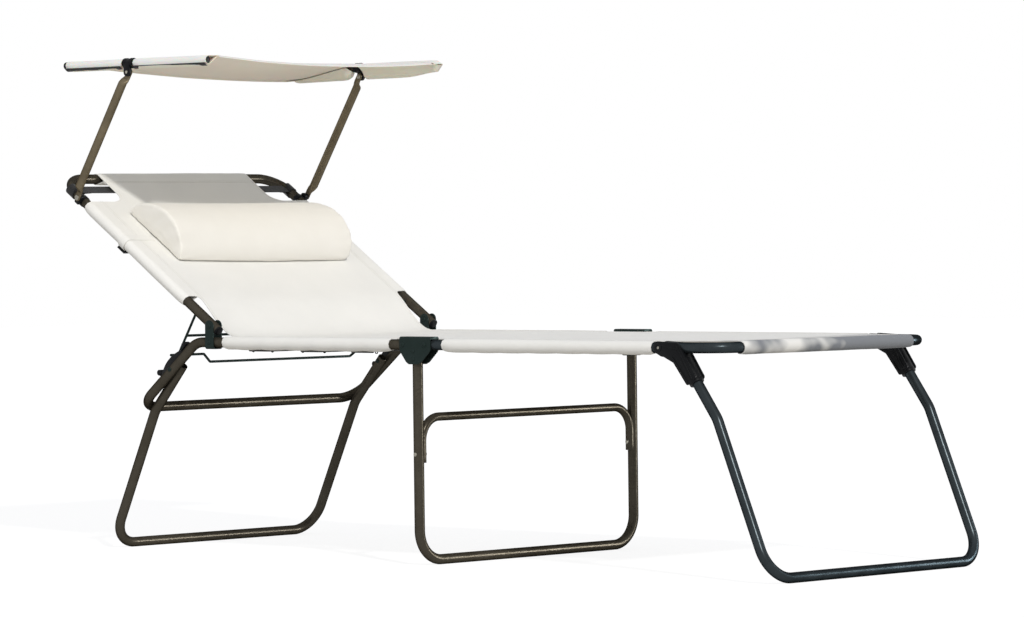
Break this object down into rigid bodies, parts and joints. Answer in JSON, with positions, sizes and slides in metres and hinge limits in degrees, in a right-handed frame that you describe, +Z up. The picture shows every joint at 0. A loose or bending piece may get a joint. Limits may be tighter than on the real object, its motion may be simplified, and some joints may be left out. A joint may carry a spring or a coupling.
{
  "type": "canopy sun lounger",
  "caption": "Folding garden lounger on steel tube legs, with a tilting back on a rack prop, sleeved fabric covers, a head pillow and a tilting fabric canopy.",
  "frame": {"origin": "on the floor under the middle of the whole lounger", "axes": "+X across to the left side of a person lying on it, +Y from the foot end to the head end, +Z up"},
  "size_m": [0.7502, 2.1188, 1.0963],
  "materials": {
    "frame_lacquer": "powder-coated bronze brown steel tube, satin",
    "bracket_lacquer": "dark green-grey lacquered pressed steel",
    "bright_steel": "zinc-plated steel rivets, pins and wire",
    "black_plastic": "moulded black plastic",
    "cover_fabric": "white woven outdoor fabric",
    "pillow_fabric": "white woven outdoor fabric over soft fill",
    "canopy_fabric": "ecru woven outdoor fabric",
    "black_webbing": "black woven webbing",
    "lacing_elastic": "dark braided elastic cord",
    "white_elastic": "white woven elastic band"
  },
  "bodies": {
    "seat": {"seat_frame": "frame_lacquer", "seat_cover": "cover_fabric", "seat_lacing": "lacing_elastic", "prop_rack_right": "black_plastic", "prop_rack_left": "black_plastic", "back_hinge_bracket_right": "bracket_lacquer", "back_hinge_bracket_left": "bracket_lacquer", "back_bracket_rivet_right": "bright_steel", "back_bracket_rivet_left": "bright_steel", "back_hinge_pin_right": "bright_steel", "back_hinge_pin_left": "bright_steel", "head_leg_pin_right": "bright_steel", "head_leg_pin_left": "bright_steel"},
    "back_rest": {"back_frame": "frame_lacquer", "back_cover": "cover_fabric", "back_strap": "black_webbing", "pillow": "pillow_fabric", "pillow_strap_right": "white_elastic", "pillow_strap_left": "white_elastic", "back_plug_right": "black_plastic", "back_plug_left": "black_plastic", "canopy_foot_clamp_right": "black_plastic", "canopy_foot_clamp_left": "black_plastic", "canopy_foot_bolt_right": "bright_steel", "canopy_foot_bolt_left": "bright_steel"},
    "prop": {"prop_frame": "bright_steel"},
    "middle_leg": {"mid_leg": "frame_lacquer", "mid_brace": "frame_lacquer", "brace_rivet_right": "bright_steel", "brace_rivet_left": "bright_steel", "mid_bracket_right": "bracket_lacquer", "mid_bracket_left": "bracket_lacquer", "seat_pivot_pin_right": "bright_steel", "seat_pivot_pin_left": "bright_steel", "foot_pivot_pin_right": "bright_steel", "foot_pivot_pin_left": "bright_steel", "mid_leg_rivet_upper_right": "bright_steel", "mid_leg_rivet_upper_left": "bright_steel", "mid_leg_rivet_lower_right": "bright_steel", "mid_leg_rivet_lower_left": "bright_steel"},
    "foot_section": {"foot_frame": "frame_lacquer", "foot_cover": "cover_fabric", "foot_leg_pin_right": "bright_steel", "foot_leg_pin_left": "bright_steel"},
    "foot_leg_unit": {"foot_leg": "frame_lacquer", "leg_socket_right": "black_plastic", "leg_socket_left": "black_plastic"},
    "head_leg_unit": {"head_leg": "frame_lacquer"},
    "canopy_arms": {"canopy_arm_right": "frame_lacquer", "canopy_arm_left": "frame_lacquer"},
    "canopy": {"canopy_cover": "canopy_fabric", "canopy_tube_right": "frame_lacquer", "canopy_tube_left": "frame_lacquer", "canopy_clamp_right": "black_plastic", "canopy_clamp_left": "black_plastic", "canopy_cap_foot_right": "black_plastic", "canopy_cap_foot_left": "black_plastic", "canopy_cap_head_right": "black_plastic", "canopy_cap_head_left": "black_plastic"}
  },
  "joints": [
    {"name": "back_tilt", "type": "hinge", "parent": "seat", "child": "back_rest", "pos_m": [0, 0.54755, 0.502], "axis": [1, 0, 0], "range_deg": [-33.5, 22.5]},
    {"name": "prop_swing", "type": "hinge", "parent": "back_rest", "child": "prop", "pos_m": [0, 0.61093, 0.54395], "axis": [1, 0, 0], "range_deg": [-28.12, 41.88]},
    {"name": "middle_leg_fold", "type": "hinge", "parent": "seat", "child": "middle_leg", "pos_m": [0, -0.04845, 0.466], "axis": [1, 0, 0], "range_deg": [0, 90]},
    {"name": "foot_frame_fold", "type": "hinge", "parent": "middle_leg", "child": "foot_section", "pos_m": [0, -0.11245, 0.466], "axis": [1, 0, 0], "range_deg": [0, 80]},
    {"name": "foot_leg_fold", "type": "hinge", "parent": "foot_section", "child": "foot_leg_unit", "pos_m": [0, -0.77245, 0.466], "axis": [1, 0, 0], "range_deg": [0, 118]},
    {"name": "head_leg_fold", "type": "hinge", "parent": "seat", "child": "head_leg_unit", "pos_m": [0, 0.67966, 0.40551], "axis": [-1, 0, 0], "range_deg": [0, 118]},
    {"name": "canopy_arm_tilt", "type": "hinge", "parent": "back_rest", "child": "canopy_arms", "pos_m": [0, 0.96442, 0.78895], "axis": [1, 0, 0], "range_deg": [-75, 30]},
    {"name": "canopy_tilt", "type": "hinge", "parent": "canopy_arms", "child": "canopy", "pos_m": [0, 0.78431, 1.06523], "axis": [-1, 0, 0], "range_deg": [-60, 30]}
  ],
  "couplings": [
    {"joint": "prop_swing", "follows": "back_tilt", "ratio": -1.25}
  ]
}
